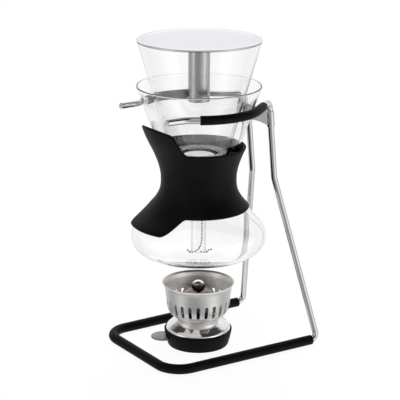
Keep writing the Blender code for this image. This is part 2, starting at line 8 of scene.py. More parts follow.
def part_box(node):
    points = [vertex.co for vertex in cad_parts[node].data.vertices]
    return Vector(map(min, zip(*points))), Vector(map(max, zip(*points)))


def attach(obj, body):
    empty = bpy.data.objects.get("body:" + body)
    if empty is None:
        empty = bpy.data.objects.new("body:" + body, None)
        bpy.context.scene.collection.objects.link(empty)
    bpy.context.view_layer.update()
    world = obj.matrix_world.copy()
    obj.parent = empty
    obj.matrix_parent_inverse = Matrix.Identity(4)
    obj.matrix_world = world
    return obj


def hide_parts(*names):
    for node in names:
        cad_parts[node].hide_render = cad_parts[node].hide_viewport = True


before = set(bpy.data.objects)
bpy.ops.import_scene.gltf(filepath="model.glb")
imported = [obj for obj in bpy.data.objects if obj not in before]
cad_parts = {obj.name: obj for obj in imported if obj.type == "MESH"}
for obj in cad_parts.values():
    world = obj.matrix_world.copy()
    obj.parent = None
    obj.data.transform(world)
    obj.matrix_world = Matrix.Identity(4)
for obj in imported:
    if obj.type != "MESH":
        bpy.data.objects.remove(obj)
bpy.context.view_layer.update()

MM = 0.001
NEAR = 1e-7              # a point this close to the axis, or to another vert, counts as on it

# ---------------------------------------------------------------- sizes taken from the frame
LID_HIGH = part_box("lid_plate")[1]
TUBE_LOW, TUBE_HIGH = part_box("lid_tube")
BOWL_LOW, BOWL_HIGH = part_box("upper_bowl_glass")
CAP_LOW, CAP_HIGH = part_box("snuffer_cap")
SLEEVE_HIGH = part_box("base_sleeve")[1]

# ---------------------------------------------------------------- sizes shared with the CAD design
GLASS = 2.0 * MM
ROD_RADIUS, ARM_SLEEVE_RADIUS, BASE_SLEEVE_RADIUS = 4.0 * MM, 5.7 * MM, 6.2 * MM
ARM_HEIGHT, ARM_RADIUS = 310.0 * MM, 75.0 * MM
ARM_ARC_START = radians(-32)
ARM_TIP = Vector((53.5, -81.0, 310.0)) * MM
ARM_STRAIGHT_X = 54.5 * MM
RIGHT_SLEEVE_TAIL, LEFT_SLEEVE_TAIL = 25.0 * MM, 3.0 * MM
ARM_BEND, TOP_BEND, KINK_BEND, FOOT_BEND = 25.0 * MM, 10.0 * MM, 15.0 * MM, 8.0 * MM
LEG_TOP = Vector((24.0, 89.0, 310.0)) * MM
LEG_KINK = Vector((24.1, 98.4, 210.4)) * MM
FOOT_CORNER = Vector((83.4, 127.7, 6.2)) * MM
BASE_HALF_WIDTH, BASE_FRONT_Y, BASE_CORNER_RADIUS = 80.6 * MM, -90.8 * MM, 30.0 * MM
COLLAR_RADIUS, COLLAR_BOTTOM, COLLAR_TOP = 5.1 * MM, 278.0 * MM, 298.5 * MM

CARAFE_RIM_RADIUS, CARAFE_RIM_Z = 77.3 * MM, 335.6 * MM
CARAFE_ARM_RADIUS = 68.3 * MM
WAIST_Z, WAIST_RADIUS = 217.5 * MM, 43.6 * MM
BULB_Z, BULB_RADIUS, BULB_DEPTH = 145.5 * MM, 84.7 * MM, 31.3 * MM
BAND_THICKNESS, BAND_GAP = 3.4 * MM, 0.3 * MM
BAND_TOP, BAND_WING_TOP = 261.0 * MM, 292.0 * MM
BAND_BOTTOM, BAND_WING_BOTTOM = 181.8 * MM, 162.8 * MM
BAND_FLARE = 7.0 * MM
TOP_FLARE_ZONE, BOTTOM_FLARE_ZONE = (222.0 * MM, 283.0 * MM), (157.0 * MM, 184.0 * MM)
WING_TOP_EDGE = radians(27), radians(43)
WING_BOTTOM_EDGE = radians(22), radians(43)
WING_SHOULDER, WING_HALF_WIDTH = 0.78, radians(38)
HOOK_ANGLE = radians(-123)
TAB_ANGLE, TAB_REACH, TAB_RADIUS = radians(-118), 44.9 * MM, 15.5 * MM
TAB_BOTTOM, TAB_TOP = 8.6 * MM, 11.0 * MM
SLOT_COUNT, SLOT_WIDTH, SLOT_MARGIN = 24, 4.2 * MM, 1.6 * MM
SLOT_BOTTOM, SLOT_TOP, SLOT_PHASE = 45.0 * MM, 61.5 * MM, radians(-3)

CAMERA_AZIMUTH, CAMERA_ELEVATION, CAMERA_ROLL = radians(56.81), radians(16.27), radians(0.27)
CAMERA_AIM_HEIGHT, CAMERA_DISTANCE = 0.1903, 1.9378
LENS_MM, LENS_SHIFT = 139.43, 0.0034
FLOOR_SIZE, FLOOR_DROP = 9.0, 0.2 * MM
ROOM_TO_CEILING, GROUND_TO_WHITE = (0.30, 0.45), (-0.60, -0.72)     # heights of the direction seen
PEAK = 1.4                                        # the brightest light in the studio


# ---------------------------------------------------------------- material building blocks
class Nodes:
    """A node tree with short ways to add nodes."""

    def __init__(self, tree):
        self.tree = tree

    def node(self, kind, **settings):
        made = self.tree.nodes.new(kind)
        for key, value in settings.items():
            setattr(made, key, value)
        return made

    def link(self, source, target):
        self.tree.links.new(source, target)

    def math(self, operation, first, second=None):
        made = self.node("ShaderNodeMath", operation=operation)
        for socket, value in zip(made.inputs, (first, second)):
            if isinstance(value, bpy.types.NodeSocket):
                self.link(value, socket)
            elif value is not None:
                socket.default_value = value
        return made.outputs["Value"]

    def range(self, value, low, high, source=(0.0, 1.0), **settings):
        made = self.node("ShaderNodeMapRange", **settings)
        for socket, number in zip(("From Min", "From Max", "To Min", "To Max"), (*source, low, high)):
            made.inputs[socket].default_value = number
        self.link(value, made.inputs["Value"])
        return made.outputs["Result"]

    def blend(self, factor, first, second):
        made = self.node("ShaderNodeMix", data_type="RGBA")
        self.link(factor, made.inputs["Factor"])
        for socket, colour in ((made.inputs[6], first), (made.inputs[7], second)):
            if isinstance(colour, bpy.types.NodeSocket):
                self.link(colour, socket)
            else:
                socket.default_value = (*colour, 1.0)
        return made.outputs[2]


class Shader(Nodes):
    """A new material's node tree, with its Principled shader."""

    def __init__(self, name, **values):
        self.material = bpy.data.materials.new(name)
        self.material.use_nodes = True
        super().__init__(self.material.node_tree)
        self.principled = self.tree.nodes["Principled BSDF"]
        for socket, value in values.items():
            self.principled.inputs[socket.replace("_", " ")].default_value = value

    def place(self):
        """Object coordinates."""
        return self.node("ShaderNodeTexCoord").outputs["Object"]

    def axes(self):
        """Object coordinates as X, Y and Z."""
        parts = self.node("ShaderNodeSeparateXYZ")
        self.link(self.place(), parts.inputs["Vector"])
        return parts.outputs["X"], parts.outputs["Y"], parts.outputs["Z"]

    def coordinates(self, scale=(1, 1, 1)):
        """Object coordinates, scaled along each axis."""
        mapping = self.node("ShaderNodeMapping")
        mapping.inputs["Scale"].default_value = scale
        self.link(self.place(), mapping.inputs["Vector"])
        return mapping.outputs["Vector"]

    def polar_coordinates(self, scale):
        """(angle, radius, height) round the Z axis, scaled, for turned and brushed metal."""
        x, y, z = self.axes()
        angle = self.math("ARCTAN2", y, x)
        across, along = self.math("MULTIPLY", x, x), self.math("MULTIPLY", y, y)
        radius = self.math("SQRT", self.math("ADD", across, along))
        joined = self.node("ShaderNodeCombineXYZ")
        for socket, value, factor in zip(joined.inputs, (angle, radius, z), scale):
            self.link(self.math("MULTIPLY", value, factor), socket)
        return joined.outputs["Vector"]

    def noise(self, vector, scale, detail=2.0, roughness=0.5):
        made = self.node("ShaderNodeTexNoise")
        made.inputs["Scale"].default_value = scale
        made.inputs["Detail"].default_value = detail
        made.inputs["Roughness"].default_value = roughness
        self.link(vector, made.inputs["Vector"])
        return made.outputs["Fac"]

    def bump(self, height, distance, strength=1.0, after=None):
        made = self.node("ShaderNodeBump")
        made.inputs["Distance"].default_value = distance
        made.inputs["Strength"].default_value = strength
        self.link(height, made.inputs["Height"])
        if after is not None:
            self.link(after, made.inputs["Normal"])
        return made.outputs["Normal"]

    def to(self, socket, source):
        self.link(source, self.principled.inputs[socket])


# ---------------------------------------------------------------- materials
def clear_glass():
    """Clear blown glass: a little darker where it is seen edge on, with the faintest unevenness."""
    made = Shader("clear_glass", Roughness=0.0, IOR=1.47, Transmission_Weight=1.0,
                  Specular_IOR_Level=0.06)
    facing = made.node("ShaderNodeLayerWeight")
    facing.inputs["Blend"].default_value = 0.35
    edge = made.range(facing.outputs["Facing"], 0.0, 1.0, (0.62, 1.0))
    made.to("Base Color", made.blend(edge, (0.990, 0.990, 0.992), (0.93, 0.932, 0.925)))
    waves = made.noise(made.coordinates((1, 1, 0.6)), 14, 1.0)
    made.to("Normal", made.bump(waves, 0.4 * MM, 0.25))
    return made.material


def polished_steel():
    """Drawn steel rod, polished, with faint streaks along it and small stains."""
    made = Shader("polished_steel", Metallic=1.0, Roughness=0.16)
    streaks = made.noise(made.coordinates((1, 1, 0.12)), 900, 3.0)
    cloud = made.noise(made.coordinates(), 22, 3.0)
    made.to("Base Color", made.blend(cloud, (0.60, 0.58, 0.565), (0.72, 0.70, 0.685)))
    made.to("Roughness", made.range(streaks, 0.10, 0.24))
    made.to("Normal", made.bump(streaks, 0.01 * MM, 0.12))
    return made.material


def brushed_lid_steel():
    """Lid steel with fine straight brush marks."""
    made = Shader("brushed_lid_steel", Metallic=1.0, Roughness=0.28)
    marks = made.noise(made.coordinates((1, 0.02, 1)), 2600, 3.0, 0.7)
    patches = made.noise(made.coordinates((1, 0.15, 1)), 30, 2.0)
    made.to("Base Color", made.blend(patches, (0.745, 0.75, 0.772), (0.785, 0.79, 0.81)))
    made.to("Roughness", made.range(marks, 0.22, 0.38))
    made.to("Normal", made.bump(marks, 0.015 * MM, 0.35))
    return made.material


def tube_steel():
    """Polished tube with faint turning marks round it."""
    made = Shader("tube_steel", Metallic=1.0, Roughness=0.16)
    rings = made.noise(made.polar_coordinates((0.6, 1.0, 1800.0)), 1.0, 3.0)
    cloud = made.noise(made.coordinates((1, 1, 0.5)), 60, 2.0)
    made.to("Base Color", made.blend(cloud, (0.46, 0.445, 0.44), (0.55, 0.535, 0.53)))
    made.to("Roughness", made.range(rings, 0.10, 0.22))
    made.to("Normal", made.bump(rings, 0.012 * MM, 0.3))
    return made.material


def satin_guard_steel():
    """Spun wind guard: fine rings left by the spinning. Painted light makes it brighter inside, and
    painted shade darkens its foot.
    """
    made = Shader("satin_guard_steel", Metallic=1.0, Roughness=0.38)
    rings = made.noise(made.polar_coordinates((1.2, 500.0, 2200.0)), 1.0, 3.0, 0.6)
    cloud = made.noise(made.coordinates(), 45, 4.0)
    outward = made.node("ShaderNodeVectorMath", operation="DOT_PRODUCT")
    made.link(made.node("ShaderNodeNewGeometry").outputs["True Normal"], outward.inputs[0])
    made.link(made.place(), outward.inputs[1])
    # Painted light: inward-facing surfaces get a far brighter colour than the outside, standing in for
    # light inside the cup.
    inside = made.math("LESS_THAN", outward.outputs["Value"], 4 * MM)
    # Painted shade: the outside colour darkens towards the bottom, below 43.5 mm, standing in for the
    # shade under the guard.
    foot = made.range(made.axes()[2], 1.0, 0.0, (38.0 * MM, 43.5 * MM))
    outside = made.blend(cloud, (0.64, 0.635, 0.63), (0.72, 0.715, 0.71))
    outside = made.blend(foot, outside, (0.20, 0.19, 0.185))
    made.to("Base Color", made.blend(inside, outside, (0.96, 0.935, 0.915)))
    made.to("Roughness", made.range(rings, 0.32, 0.46))
    made.to("Normal", made.bump(rings, 0.015 * MM, 0.4))
    return made.material


def snuffer_chrome():
    """The snuffer cap's chrome, with a painted dark reflection below its crown."""
    made = Shader("snuffer_chrome", Metallic=1.0, Roughness=0.08)
    smears = made.noise(made.coordinates(), 160, 3.0)
    level = made.math("ADD", made.axes()[2], made.math("MULTIPLY", smears, 1.2 * MM))
    # Painted reflection: the colour is near black below the crown and bright chrome above it.
    crown = made.range(level, 0.0, 1.0, (80.6 * MM, 82.2 * MM))
    made.to("Base Color", made.blend(crown, (0.075, 0.062, 0.058), (0.93, 0.925, 0.92)))
    made.to("Roughness", made.range(smears, 0.06, 0.14))
    return made.material


def mirror_chrome():
    """Burner chrome: a bright mirror with faint wipe marks."""
    made = Shader("mirror_chrome", Metallic=1.0, Roughness=0.05)
    smears = made.noise(made.coordinates((1, 0.5, 1)), 55, 4.0, 0.6)
    made.to("Base Color", made.blend(smears, (0.80, 0.79, 0.79), (0.88, 0.88, 0.885)))
    made.to("Roughness", made.range(smears, 0.03, 0.11))
    return made.material


def holder_metal():
    """Wick holder, heat-stained to a warm brown-grey."""
    made = Shader("holder_metal", Metallic=1.0, Roughness=0.18)
    stains = made.noise(made.coordinates((1, 1, 0.6)), 90, 4.0, 0.6)
    made.to("Base Color", made.blend(stains, (0.11, 0.080, 0.068), (0.30, 0.245, 0.22)))
    made.to("Roughness", made.range(stains, 0.08, 0.18))
    return made.material


def black_rubber(name, colour, roughness, grain, shine=0.12):
    """Black rubber or silicone with a fine moulded grain."""
    made = Shader(name, Roughness=roughness, Specular_IOR_Level=shine)
    fine = made.noise(made.coordinates(), grain, 3.0, 0.6)
    dust = made.noise(made.coordinates(), 35, 4.0, 0.6)
    lighter = tuple(channel * 1.9 + 0.0004 for channel in colour)
    made.to("Base Color", made.blend(made.range(dust, 0.0, 1.0, (0.35, 0.75)), colour, lighter))
    made.to("Roughness", made.range(fine, roughness - 0.07, roughness + 0.08))
    made.to("Normal", made.bump(fine, 0.03 * MM, 0.5))
    return made.material


def filter_cotton():
    """White flannel with its weave, for the filter's cover."""
    # Painted light: the emission makes the cover glow, standing in for light that the glass and lid keep
    # from it.
    made = Shader("filter_cotton", Roughness=0.95, Specular_IOR_Level=0.1, Sheen_Weight=0.3,
                  Emission_Color=(1.0, 0.99, 0.96, 1.0), Emission_Strength=0.75)
    over = made.node("ShaderNodeTexWave", wave_type="BANDS", bands_direction="X")
    under = made.node("ShaderNodeTexWave", wave_type="BANDS", bands_direction="Y")
    place = made.coordinates()
    for wave in (over, under):
        wave.inputs["Scale"].default_value = 220
        wave.inputs["Distortion"].default_value = 0.6
        made.link(place, wave.inputs["Vector"])
    weave = made.math("MAXIMUM", over.outputs["Fac"], under.outputs["Fac"])
    fuzz = made.noise(place, 700, 3.0)
    made.to("Base Color", made.blend(weave, (0.78, 0.765, 0.73), (0.93, 0.925, 0.90)))
    made.to("Normal", made.bump(fuzz, 0.05 * MM, 0.4, made.bump(weave, 0.12 * MM, 0.7)))
    return made.material


def wick_cotton():
    """Braided wick, singed at its top."""
    made = Shader("wick_cotton", Roughness=0.95, Specular_IOR_Level=0.1)
    braid = made.node("ShaderNodeTexWave", wave_type="BANDS", bands_direction="DIAGONAL")
    braid.inputs["Scale"].default_value = 160
    made.link(made.polar_coordinates((0.012, 1.0, 1.0)), braid.inputs["Vector"])
    singed = made.range(made.axes()[2], 0.0, 1.0, (79 * MM, 81.5 * MM))
    yarn = made.blend(braid.outputs["Fac"], (0.52, 0.47, 0.38), (0.80, 0.76, 0.68))
    made.to("Base Color", made.blend(singed, yarn, (0.06, 0.045, 0.035)))
    made.to("Normal", made.bump(braid.outputs["Fac"], 0.2 * MM, 0.6))
    return made.material


def floor_white():
    """A white sweep that gives most of its own light, so that only faint shadows fall on it.

    It lets reflected rays through, also those that pass glass later, so mirrors see the room.
    """
    made = Shader("floor_white", Roughness=0.9, Specular_IOR_Level=0.0, Base_Color=(0.14, 0.14, 0.14, 1.0),
                  Emission_Color=(1.0, 1.0, 1.0, 1.0), Emission_Strength=0.93)
    path = made.node("ShaderNodeLightPath")
    reflected = made.math("GREATER_THAN", path.outputs["Glossy Depth"], 0.5)
    past = made.node("ShaderNodeBsdfTransparent")
    either = made.node("ShaderNodeMixShader")
    made.link(reflected, either.inputs[0])
    made.link(made.principled.outputs["BSDF"], either.inputs[1])
    made.link(past.outputs["BSDF"], either.inputs[2])
    made.link(either.outputs["Shader"], made.tree.nodes["Material Output"].inputs["Surface"])
    return made.material


# ---------------------------------------------------------------- mesh building blocks
def add_piece(name, mesh, material, body, replaced=(), sharp=40):
    """Links a mesh as a piece that rides on a body and stands for CAD nodes.

    Edges that turn by more than `sharp` degrees stay sharp.
    """
    mesh.name = name
    mesh.materials.append(material)
    mesh.shade_smooth()
    mesh.set_sharp_from_angle(angle=radians(sharp))
    piece = bpy.data.objects.new(name, mesh)
    bpy.context.scene.collection.objects.link(piece)
    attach(piece, body)
    if replaced:
        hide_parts(*replaced)
    return piece


def finish_mesh(work):
    """A clean mesh of the work so far. add_piece gives it its name."""
    bmesh.ops.remove_doubles(work, verts=work.verts, dist=NEAR)
    bmesh.ops.recalc_face_normals(work, faces=work.faces)
    mesh = bpy.data.meshes.new("piece")
    work.to_mesh(mesh)
    work.free()
    return mesh


def bridge(work, first, second):
    """Faces between two rings of as many verts."""
    for index in range(len(first)):
        after = (index + 1) % len(first)
        work.faces.new((first[index], first[after], second[after], second[index]))


def bridge_along(work, rings):
    for first, second in zip(rings, rings[1:]):
        bridge(work, first, second)


def points(*pairs):
    """Outline points from (radius, height) pairs in millimetres."""
    return [Vector(pair) * MM for pair in pairs]


def rounded(outline, radii, steps=5, closed=True):
    """Replaces each corner of an outline by an arc. A single radius serves every corner."""
    if not hasattr(radii, "__len__"):
        radii = [radii] * len(outline)
    result = []
    count = len(outline)
    for index, (corner, radius) in enumerate(zip(outline, radii)):
        at_end = not closed and index in (0, count - 1)
        if radius == 0 or at_end or corner.x < NEAR:
            result.append(corner)
            continue
        back = outline[index - 1] - corner
        ahead = outline[(index + 1) % count] - corner
        turn = pi - back.angle(ahead)
        if turn < radians(1):
            result.append(corner)
            continue
        reach = min(radius * tan(turn / 2), 0.49 * min(back.length, ahead.length))
        start, end = corner + back.normalized() * reach, corner + ahead.normalized() * reach
        for step in range(steps + 1):
            share = step / steps
            result.append(start.lerp(corner, share).lerp(corner.lerp(end, share), share))
    return result


def smooth_through(chosen, steps):
    """Points on a Catmull-Rom curve through the chosen points."""
    ends = [chosen[0] * 2 - chosen[1], *chosen, chosen[-1] * 2 - chosen[-2]]
    curve = []
    for a, b, c, d in zip(ends, ends[1:], ends[2:], ends[3:]):
        for step in range(steps):
            t = step / steps
            curve.append(0.5 * (2 * b + (c - a) * t + (2 * a - 5 * b + 4 * c - d) * t * t
                                + (3 * b - a - 3 * c + d) * t * t * t))
    return curve + [chosen[-1]]


def turned_rings(work, outline, sides, start=0.0):
    """Rings of verts for an outline, from a start angle; a point on the axis gives a single vert."""
    rings = []
    for point in outline:
        if point.x < NEAR:
            rings.append([work.verts.new((0, 0, point.y))])
            continue
        ring = []
        for step in range(sides):
            angle = start + 2 * pi * step / sides
            ring.append(work.verts.new((point.x * cos(angle), point.x * sin(angle), point.y)))
        rings.append(ring)
    return rings


def join_rings(work, first, second):
    """Like bridge, but either ring may be a single vert on the axis."""
    if len(first) == 1 and len(second) == 1:
        return
    if len(first) == 1 or len(second) == 1:
        tip, ring = (first[0], second) if len(first) == 1 else (second[0], first)
        for index in range(len(ring)):
            work.faces.new((tip, ring[index], ring[(index + 1) % len(ring)]))
        return
    bridge(work, first, second)


def turned(outline, sides=128):
    """Turns a closed outline, or one that runs from the axis to the axis, round Z."""
    work = bmesh.new()
    rings = turned_rings(work, outline, sides)
    for first, second in zip(rings, rings[1:] + rings[:1]):
        join_rings(work, first, second)
    return finish_mesh(work)


def offset_outline(outer, thickness):
    """The outline moved to its left by a wall's thickness."""
    inner = []
    for index, point in enumerate(outer):
        along = (outer[min(index + 1, len(outer) - 1)] - outer[max(index - 1, 0)]).normalized()
        inner.append(point + Vector((-along.y, along.x)) * thickness)
    for end in (0, -1):
        if outer[end].x < NEAR:
            inner[end].x = 0.0
    return inner


def round_lip(start, end, steps=6):
    """Half circle of points from the outer wall's end to the inner wall's end."""
    centre = (start + end) / 2
    arm = start - centre
    lip = []
    for step in range(1, steps):
        angle = pi * step / steps
        lip.append(centre + Vector((arm.x * cos(angle) - arm.y * sin(angle),
                                    arm.x * sin(angle) + arm.y * cos(angle))))
    return lip


def shell(outer, thickness):
    """Closed outline of a wall with rounded free ends."""
    inner = offset_outline(outer, thickness)
    outline = list(outer)
    if outer[-1].x > NEAR:
        outline += round_lip(outer[-1], inner[-1])
    outline += inner[::-1]
    if outer[0].x > NEAR:
        outline += round_lip(inner[0], outer[0])
    return outline


def fillet_path(corners, step_angle=radians(4), step_length=4 * MM):
    """Points of a bent rod. Each corner is (position, bend radius); both ends have radius 0."""
    path = [corners[0][0]]
    for (before, _), (corner, radius), (after, _) in zip(corners, corners[1:], corners[2:]):
        to_before = (before - corner).normalized()
        to_after = (after - corner).normalized()
        turn = pi - acos(to_before.dot(to_after))
        centre = corner + (to_before + to_after).normalized() * radius / cos(turn / 2)
        start = corner + to_before * radius * tan(turn / 2) - centre
        axis = start.cross(to_before).normalized()
        steps = max(4, round(turn / step_angle), round(turn * radius / step_length))
        for step in range(steps + 1):
            path.append(centre + Matrix.Rotation(-turn * step / steps, 3, axis) @ start)
    return path + [corners[-1][0]]


def lengths_along(path):
    total = [0.0]
    for a, b in zip(path, path[1:]):
        total.append(total[-1] + (b - a).length)
    return total


def resampled(path, pitch):
    """The path with a point at least every `pitch`, keeping its own points."""
    result = [path[0]]
    for a, b in zip(path, path[1:]):
        spans = max(1, round((b - a).length / pitch))
        for span in range(1, spans + 1):
            result.append(a.lerp(b, span / spans))
    return result


def stretch(path, start, end):
    """The part of a path between two distances along it."""
    total = lengths_along(path)

    def point_at(distance):
        for index in range(len(path) - 1):
            if distance <= total[index + 1]:
                share = (distance - total[index]) / (total[index + 1] - total[index])
                return path[index].lerp(path[index + 1], share)
        return path[-1]

    inside = [p for p, s in zip(path, total) if start + 0.1 * MM < s < end - 0.1 * MM]
    return [point_at(start), *inside, point_at(end)]


def distance_to(path, target):
    """How far along the path its nearest point to the target is."""
    total = lengths_along(path)
    best = min(range(len(path)), key=lambda index: (path[index] - target).length)
    return total[best]


def swept_rings(work, path, radii, sides):
    """A ring of verts round each path point, in frames carried along without twist."""
    first = (path[1] - path[0]).normalized()
    normal = first.orthogonal().normalized()
    rings = []
    for index, (point, radius) in enumerate(zip(path, radii)):
        before, after = path[max(index - 1, 0)], path[min(index + 1, len(path) - 1)]
        tangent = (after - before).normalized()
        normal = (normal - tangent * normal.dot(tangent)).normalized()
        side = tangent.cross(normal)
        ring = []
        for step in range(sides):
            angle = 2 * pi * step / sides
            ring.append(work.verts.new(point + (normal * cos(angle) + side * sin(angle)) * radius))
        rings.append(ring)
    return rings


def softened_ends(path, radius, edge, steps):
    """The path, and the radius at each of its points, with both ends rounded over by `edge`."""
    first = (path[1] - path[0]).normalized()
    last = (path[-1] - path[-2]).normalized()
    turns = [pi / 2 * step / steps for step in range(steps + 1)]
    head = [path[0] + first * edge * (1 - cos(turn)) for turn in turns]
    tail = [path[-1] - last * edge * (1 - cos(turn)) for turn in reversed(turns)]
    ends = [radius - edge + edge * sin(turn) for turn in turns]
    return head + path[1:-1] + tail, ends + [radius] * (len(path) - 2) + ends[::-1]


def rod(path, radius, sides=32, edge=None):
    """Solid round rod. Its ends are rounded over by `edge`, or else by half its radius."""
    work = bmesh.new()
    rings = swept_rings(work, *softened_ends(path, radius, edge or radius * 0.5, 6), sides)
    bridge_along(work, rings)
    work.faces.new(rings[0])
    work.faces.new(rings[-1])
    return finish_mesh(work)


def sleeve(path, bore, radius, sides=48, edge=0.6 * MM):
    """Tube of round section along a path; its outer edges are rounded."""
    places, radii = softened_ends(path, radius, edge, 4)
    work = bmesh.new()
    outer = swept_rings(work, places, radii, sides)
    inner = swept_rings(work, places, [bore] * len(places), sides)
    bridge_along(work, outer)
    bridge_along(work, inner)
    bridge(work, outer[0], inner[0])
    bridge(work, outer[-1], inner[-1])
    return finish_mesh(work)


def eased(value, start, end):
    """1 up to start, 0 from end, and a smooth fall between."""
    share = min(1.0, max(0.0, (value - start) / (end - start)))
    return 1 - share * share * (3 - 2 * share)


# ---------------------------------------------------------------- stand
def mirrored(point):
    return Vector((-point.x, point.y, point.z))


def arm_tangent(angle):
    """A point of the right arm's arc, and the arc's direction there."""
    point = Vector((ARM_RADIUS * cos(angle), ARM_RADIUS * sin(angle), ARM_HEIGHT))
    return point, Vector((-sin(angle), cos(angle), 0))


def arm_arc_end():
    """The angle where the arc runs straight on to the top of the leg."""
    reach = hypot(LEG_TOP.x, LEG_TOP.y)
    return atan2(LEG_TOP.y, LEG_TOP.x) - acos(ARM_RADIUS / reach)


def stand_path():
    """Centreline of the whole bent rod, from one arm's tip round to the other's."""
    start, along = arm_tangent(ARM_ARC_START)
    arm_bend = start + along * (ARM_STRAIGHT_X - start.x) / along.x
    half_turn = (arm_arc_end() - ARM_ARC_START) / 2
    middle, _ = arm_tangent(ARM_ARC_START + half_turn)
    arc_corner = Vector((middle.x / cos(half_turn), middle.y / cos(half_turn), ARM_HEIGHT))
    front_corner = Vector((BASE_HALF_WIDTH, BASE_FRONT_Y, FOOT_CORNER.z))
    half = [
        (ARM_TIP, 0.0),
        (arm_bend, ARM_BEND),
        (arc_corner, ARM_RADIUS),
        (LEG_TOP, TOP_BEND),
        (LEG_KINK, KINK_BEND),
        (FOOT_CORNER, FOOT_BEND),
        (front_corner, BASE_CORNER_RADIUS),
    ]
    other = [(mirrored(corner), radius) for corner, radius in reversed(half)]
    return fillet_path(half + other)


def leg_at(height):
    """The right leg's centre between its kink and its top."""
    share = (height - LEG_KINK.z) / (LEG_TOP.z - LEG_KINK.z)
    return LEG_KINK.lerp(LEG_TOP, share)


def make_stand(steel, rubber):
    path = stand_path()
    add_piece("rod_polished", rod(resampled(path, 12 * MM), ROD_RADIUS), steel, "stand",
              ["stand_rod"])
    total = lengths_along(path)[-1]
    start_point, _ = arm_tangent(ARM_ARC_START)
    end_point, _ = arm_tangent(arm_arc_end())
    arm_from = distance_to(path, start_point)
    arc_to = distance_to(path, end_point)
    base_from = distance_to(path, Vector((FOOT_CORNER.x, SLEEVE_HIGH.y, FOOT_CORNER.z)))
    sleeves = {
        "arm_sleeve_right": (arm_from, arc_to + RIGHT_SLEEVE_TAIL, ARM_SLEEVE_RADIUS),
        "arm_sleeve_left": (total - arc_to - LEFT_SLEEVE_TAIL, total - arm_from, ARM_SLEEVE_RADIUS),
        "base_sleeve": (base_from, total - base_from, BASE_SLEEVE_RADIUS),
    }
    for node, (start, end, radius) in sleeves.items():
        mesh = sleeve(resampled(stretch(path, start, end), 10 * MM), ROD_RADIUS + 0.1 * MM, radius)
        add_piece(node + "_rubber", mesh, rubber, "stand", [node])
    for side, word in ((1, "right"), (-1, "left")):
        ends = [leg_at(height) for height in (COLLAR_BOTTOM, COLLAR_TOP)]
        if side < 0:
            ends = [mirrored(end) for end in ends]
        mesh = sleeve(resampled(ends, 5 * MM), ROD_RADIUS + 0.05 * MM, COLLAR_RADIUS, 40, 0.5 * MM)
        node = f"bracket_collar_{word}"
        add_piece(node + "_steel", mesh, steel, "stand", [node])
    make_plate(steel)


def make_plate(steel):
    """Sheet steel plate between the collars, its edges eased and its foot cut in a shallow arch."""
    low, high = leg_at(COLLAR_BOTTOM), leg_at(COLLAR_TOP)
    half_width = low.x - COLLAR_RADIUS + 0.6 * MM
    half_sheet, columns, rows = 0.8 * MM, 24, 8
    work = bmesh.new()
    grid = []
    for row in range(rows + 1):
        line = []
        for column in range(columns + 1):
            x = half_width * (2 * column / columns - 1)
            arch = 2.0 * MM * (1 - (x / half_width) ** 2) * (1 - row / rows)
            share = row / rows
            height = low.z + arch + (high.z - low.z - arch) * share
            line.append(work.verts.new((x, leg_at(height).y - half_sheet, height)))
        grid.append(line)
    for lower, upper in zip(grid, grid[1:]):
        for column in range(columns):
            work.faces.new((lower[column], lower[column + 1], upper[column + 1], upper[column]))
    plate = add_piece("bracket_plate_steel", finish_mesh(work), steel, "stand", ["bracket_plate"])
    thick = plate.modifiers.new("sheet", "SOLIDIFY")
    thick.thickness = 2 * half_sheet
    thick.offset = 0
    ease = plate.modifiers.new("ease", "BEVEL")
    ease.width = 0.25 * MM
    ease.segments = 3
    ease.limit_method = "ANGLE"


# ---------------------------------------------------------------- carafe and band
def cone_radius(height):
    slope = (CARAFE_RIM_RADIUS - CARAFE_ARM_RADIUS) / (CARAFE_RIM_Z - ARM_HEIGHT)
    return CARAFE_ARM_RADIUS + slope * (height - ARM_HEIGHT)


def carafe_outer():
    """Outer outline of the glass: nearly flat base, flattened round bulb, waist, straight cone."""
    power, steps = 2.55, 26
    outline = []
    for step in range(steps):
        angle = pi / 2 * step / steps
        depth, reach = cos(angle) ** (2 / power), sin(angle) ** (2 / power)
        outline.append(Vector((BULB_RADIUS * reach, BULB_Z - BULB_DEPTH * depth)))
    upper = [Vector((BULB_RADIUS, BULB_Z))]
    upper += points((83.3, 154), (77.0, 164), (69.0, 172.5), (60.2, 182.5), (51.7, 192.5), (46.3, 202))
    upper += [Vector((WAIST_RADIUS + 0.5 * MM, WAIST_Z - 7.5 * MM)), Vector((WAIST_RADIUS, WAIST_Z))]
    upper += points((44.0, 228), (46.0, 242), (49.6, 257))
    for height in (272 * MM, ARM_HEIGHT, CARAFE_RIM_Z - 3 * MM):
        upper.append(Vector((cone_radius(height), height)))
    upper.append(Vector((CARAFE_RIM_RADIUS, CARAFE_RIM_Z)))
    before = [Vector((BULB_RADIUS - 1.1 * MM, BULB_Z - 9 * MM))]
    curve = smooth_through(before + upper, 8)[8:]
    return outline + curve


def radius_on(outline, height):
    for low, high in zip(outline, outline[1:]):
        if low.y <= height <= high.y:
            return low.x + (high.x - low.x) * (height - low.y) / max(high.y - low.y, 1e-9)
    return outline[-1].x


def make_carafe(glass, rubber):
    outline = carafe_outer()
    add_piece("carafe_clear", turned(shell(outline, GLASS), 160), glass,
              "carafe", ["carafe_glass"], 60)
    make_band(rubber, outline)


def band_middle(glass_outline, height):
    """Radius of the middle of the band's wall: it grips the waist and flares at its edges."""
    top_flare = BAND_FLARE * (1 - eased(height, *TOP_FLARE_ZONE))
    bottom_flare = BAND_FLARE * eased(height, *BOTTOM_FLARE_ZONE)
    return radius_on(glass_outline, height) + BAND_GAP + BAND_THICKNESS / 2 + top_flare + bottom_flare


